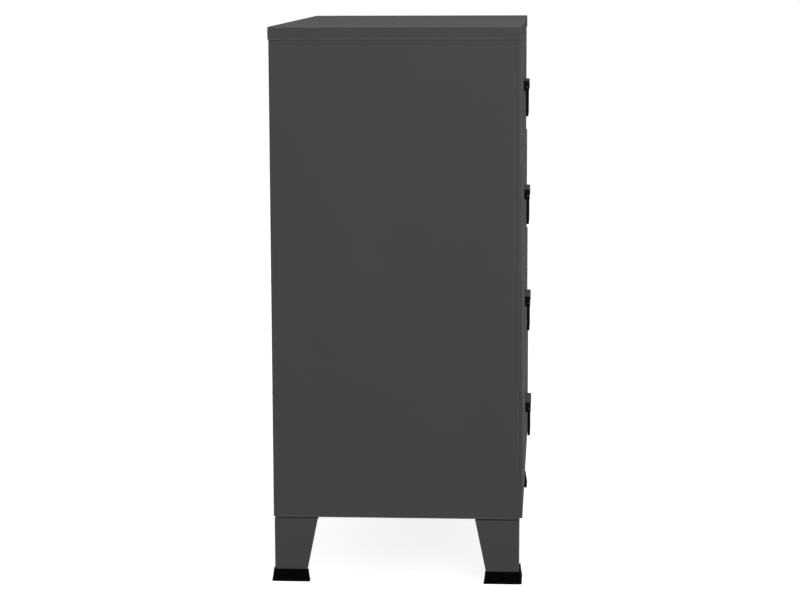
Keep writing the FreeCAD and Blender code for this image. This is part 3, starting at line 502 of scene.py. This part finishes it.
def coated(name, color, rough, edge_color, grain=900.0, drift=0.05, gloss_spread=0.08, bump=0.03,
           specular=0.4, dust_and_top_light_amount=0.06, soft=0.6 * MM, scatter=0.5, fold=1.2 * MM):
    """A coat: texture, pale edges and upward tone (partly painted light) feed a Principled shader with a
    softened, grained normal.

    The pale line reaches as far from an edge as fold says, and scatter dulls the gloss where a face is seen
    edge on.
    """
    material = bpy.data.materials.new(name)
    material.use_nodes = True
    tree = material.node_tree
    shader = tree.nodes["Principled BSDF"]
    shader.inputs["Specular IOR Level"].default_value = specular
    texture = place_group(tree, coat_texture, Color=(*color, 1.0), Grain_Scale=grain, Drift=drift,
                          Roughness=rough, Gloss_Spread=gloss_spread)
    edges = place_group(tree, edge_mask, Radius=fold)
    dust_and_top_light_film = place_group(tree, dust_and_top_light, Amount=dust_and_top_light_amount)
    # Edges take the paler colour: partly thinned coat, partly a painted highlight along the folds.
    paler = mix_colors(tree, edges.outputs["Mask"], texture.outputs["Color"], edge_color)
    # Faces that look up take the pale colour: partly dust, partly painted light from above.
    dusted_and_top_lit = mix_colors(tree, dust_and_top_light_film.outputs["Mask"], paler, DUST_AND_TOP_LIGHT_COLOR)
    link(tree, dusted_and_top_lit, shader.inputs["Base Color"])
    glance = tree.nodes.new("ShaderNodeLayerWeight")
    veiled = math(tree, "MULTIPLY", math(tree, "POWER", glance.outputs["Facing"], 6.0), scatter)
    dull = math(tree, "ADD", texture.outputs["Roughness"], math(tree, "MULTIPLY", dust_and_top_light_film.outputs["Mask"], 0.6))
    link(tree, math(tree, "ADD", dull, veiled, clamp=True), shader.inputs["Roughness"])
    softened = tree.nodes.new("ShaderNodeBevel")
    softened.samples = 6
    softened.inputs["Radius"].default_value = soft
    relief = tree.nodes.new("ShaderNodeBump")
    relief.inputs["Strength"].default_value = 1.0
    relief.inputs["Distance"].default_value = bump * MM
    link(tree, softened.outputs["Normal"], relief.inputs["Normal"],
         texture.outputs["Height"], relief.inputs["Height"],
         relief.outputs["Normal"], shader.inputs["Normal"])
    return material


# %% [markdown]
# ## Finishes of this cabinet
#
# Anthracite powder coat on the sheet, black stove enamel on the handles, black moulded plastic on the feet,
# natural nylon on the rollers and zinc plate on the runners. Colours are linear values, as the shader reads
# them.

# %% Mix the finishes
SHEET = (0.060, 0.060, 0.0605)
# Pale edge colour, about three times the sheet's: partly thinned coat, partly a painted highlight along the
# folds.
PALE_EDGE_HIGHLIGHT = (0.19, 0.19, 0.191)
materials = {
    "body_paint": coated("anthracite_coat", SHEET, 0.52, PALE_EDGE_HIGHLIGHT, specular=0.07, dust_and_top_light_amount=0.03, fold=3.0 * MM),
    "front_paint": coated("anthracite_front_coat", SHEET, 0.48, PALE_EDGE_HIGHLIGHT, specular=0.09, scatter=0.42),
    "box_paint": coated("anthracite_matt_coat", (0.052, 0.052, 0.0525), 0.65, (0.09, 0.09, 0.091), bump=0.04,
                        specular=0.05),
    "handle_paint": coated("black_enamel", (0.003, 0.003, 0.003), 0.36, (0.010, 0.010, 0.010), grain=1500.0,
                           bump=0.012, specular=0.05, dust_and_top_light_amount=0.03, soft=0.4 * MM, scatter=0.2),
    "shoe_plastic": coated("black_plastic", (0.0015, 0.0015, 0.0015), 0.6, (0.003, 0.003, 0.003),
                           grain=1400.0, bump=0.05, specular=0.01, dust_and_top_light_amount=0.0),
    "roller_nylon": coated("natural_nylon", (0.70, 0.69, 0.65), 0.38, (0.74, 0.73, 0.70), grain=500.0,
                           drift=0.02, bump=0.01, specular=0.5, dust_and_top_light_amount=0.0, soft=0.3 * MM),
    "screw_black": coated("black_zinc", (0.012, 0.012, 0.013), 0.35, (0.05, 0.05, 0.05), grain=2200.0,
                          bump=0.01, specular=0.6, dust_and_top_light_amount=0.02, soft=0.2 * MM),
}

print("coats:", sorted(materials))

# %% [markdown]
# ### Zinc plate
#
# The runners and the leg bolts are bright plated steel. A plain metal would mirror the white studio like
# chrome. Rolled strip has long, faint streaks, so its noise is stretched along the runner, and a second,
# cloudy one breaks the streaks up.

# %% Zinc plate
def rgb(tree, color):
    """A plain colour as a socket."""
    node = tree.nodes.new("ShaderNodeRGB")
    node.outputs[0].default_value = (*color, 1.0)
    return node.outputs[0]


def zinc_plate(name, scale, rough):
    """Plated steel: a metal whose gloss and colour wander over stretched noise, as rolled strip shows."""
    material = bpy.data.materials.new(name)
    material.use_nodes = True
    tree = material.node_tree
    shader = tree.nodes["Principled BSDF"]
    shader.inputs["Metallic"].default_value = 1.0
    place = tree.nodes.new("ShaderNodeTexCoord")
    stretch = tree.nodes.new("ShaderNodeMapping")
    stretch.inputs["Scale"].default_value = (1.0, 0.06, 1.0)
    grain = tree.nodes.new("ShaderNodeTexNoise")
    grain.inputs["Scale"].default_value = scale
    grain.inputs["Detail"].default_value = 4.0
    link(tree, place.outputs["Object"], stretch.inputs["Vector"],
         stretch.outputs["Vector"], grain.inputs["Vector"])
    cloud = noise(tree, 26.0, detail=4.0)
    strip = mix_colors(tree, grain.outputs["Fac"], rgb(tree, (0.50, 0.51, 0.52)), (0.62, 0.63, 0.63))
    tint = mix_colors(tree, cloud, strip, (0.57, 0.57, 0.55))
    link(tree, tint, shader.inputs["Base Color"])
    streaks = math(tree, "MULTIPLY", math(tree, "SUBTRACT", grain.outputs["Fac"], 0.5), 0.25)
    clouds = math(tree, "MULTIPLY", math(tree, "SUBTRACT", cloud, 0.5), 0.15)
    dull = math(tree, "ADD", math(tree, "ADD", rough, streaks), clouds, clamp=True)
    link(tree, dull, shader.inputs["Roughness"])
    relief = tree.nodes.new("ShaderNodeBump")
    relief.inputs["Distance"].default_value = 0.01 * MM
    softened = tree.nodes.new("ShaderNodeBevel")
    softened.samples = 4
    softened.inputs["Radius"].default_value = 0.25 * MM
    link(tree, softened.outputs["Normal"], relief.inputs["Normal"],
         grain.outputs["Fac"], relief.inputs["Height"],
         relief.outputs["Normal"], shader.inputs["Normal"])
    return material


materials["runner_zinc"] = zinc_plate("zinc_strip", 900.0, 0.34)
materials["fastener_zinc"] = zinc_plate("zinc_fastener", 1600.0, 0.26)
print("finishes:", sorted(materials))

# %% [markdown]
# ## Dress the pieces
#
# The record in the frame says which finish each node has, and each new piece carries the name of its own.
# Both are looked up, so a finish is chosen in one place only.

# %% Give every node and piece its finish
slot_of = {part["node"]: part["material_slot"] for part in frame["record"]["subparts"]}
for name, node in nodes.items():
    node.data.materials.clear()
    node.data.materials.append(materials[slot_of[name]])
for piece in scene.objects:
    if piece.type == "MESH" and piece.name not in nodes:
        piece.data.materials.append(materials[piece["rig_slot"]])

# %% [markdown]
# ## Floor, background and light
#
# The cabinet stands in a white studio with no visible horizon. A wide pale floor keeps the soft contact
# shadow of the shoes. The background is white only where the camera, a reflection or a see-through ray
# looks at it, so it adds no light of its own. The light itself is an even sky and three large soft lamps:
# one above, one in front of the near side and one behind the far side. The near side falls off gently
# toward its foot, the lid comes out a little paler, and the back keeps enough light to be read.

# %% Studio floor
def floor_disc(radius=30.0, rings=24, around=96):
    """A flat disc as a grid: the radius grows with the square of the ring number."""
    angle = np.linspace(0.0, 2 * np.pi, around, endpoint=False)
    r = radius * np.linspace(0.0, 1.0, rings) ** 2
    return np.stack([r[:, None] * np.cos(angle), r[:, None] * np.sin(angle), np.zeros((rings, around))], -1)


rings = floor_disc()
quads = grid_quads(rings.shape[0], rings.shape[1])
mesh = bpy.data.meshes.new("studio_floor")
mesh.from_pydata(rings.reshape(-1, 3).tolist(), [], quads.tolist())
merge_doubles(mesh)
floor = bpy.data.objects.new("studio_floor", mesh)
scene.collection.objects.link(floor)
print("floor:", len(mesh.polygons), "faces")

# %% Floor that is white where it is looked at
def seen_directly(tree):
    """1 for a ray of the camera, a reflection or a see-through surface, and 0 for one that carries light."""
    path = tree.nodes.new("ShaderNodeLightPath")
    looked_at = math(tree, "MAXIMUM", path.outputs["Is Camera Ray"], path.outputs["Is Glossy Ray"])
    return math(tree, "MAXIMUM", looked_at, path.outputs["Is Transmission Ray"])


def studio_floor_material():
    """A pale diffuse floor, lifted to white where it is looked at, so that only the shadow stays darker."""
    material = bpy.data.materials.new("studio_floor")
    material.use_nodes = True
    tree = material.node_tree
    tree.nodes.remove(tree.nodes["Principled BSDF"])
    matt = tree.nodes.new("ShaderNodeBsdfDiffuse")
    matt.inputs["Color"].default_value = (0.4, 0.4, 0.4, 1.0)
    glow = tree.nodes.new("ShaderNodeEmission")
    both = tree.nodes.new("ShaderNodeAddShader")
    surface = tree.nodes["Material Output"].inputs["Surface"]
    link(tree, math(tree, "MULTIPLY", seen_directly(tree), 0.85), glow.inputs["Strength"], matt.outputs[0],
         both.inputs[0], glow.outputs[0], both.inputs[1], both.outputs[0], surface)
    return material


mesh.materials.append(studio_floor_material())

# %% Sky and lamps
world = bpy.data.worlds.new("studio")
world.use_nodes = True
scene.world = world
sky = world.node_tree.nodes["Background"]
sky.inputs["Color"].default_value = (1.0, 1.0, 1.0, 1.0)
lift = math(world.node_tree, "MULTIPLY", seen_directly(world.node_tree), 0.5)
link(world.node_tree, math(world.node_tree, "ADD", 0.5, lift), sky.inputs["Strength"])


def soft_lamp(name, place, aim, width, power):
    """A square area lamp at a place, turned so that it shines at its aim."""
    lamp = bpy.data.objects.new(name, bpy.data.lights.new(name, "AREA"))
    lamp.data.size = width
    lamp.data.energy = power
    lamp.location = place
    lamp.rotation_euler = (Vector(aim) - Vector(place)).to_track_quat("-Z", "Y").to_euler()
    scene.collection.objects.link(lamp)
    return lamp


soft_lamp("overhead", (-1.6, -1.2, 3.4), (0.0, 0.0, 0.6), 2.6, 50.0)
soft_lamp("near_side", (-4.3, -0.9, 2.2), (-0.3, 0.0, 0.5), 2.2, 67.0)
soft_lamp("far_rear", (3.4, 3.6, 2.6), (0.2, 0.2, 0.5), 2.2, 60.0)
scene.view_settings.view_transform = "Standard"
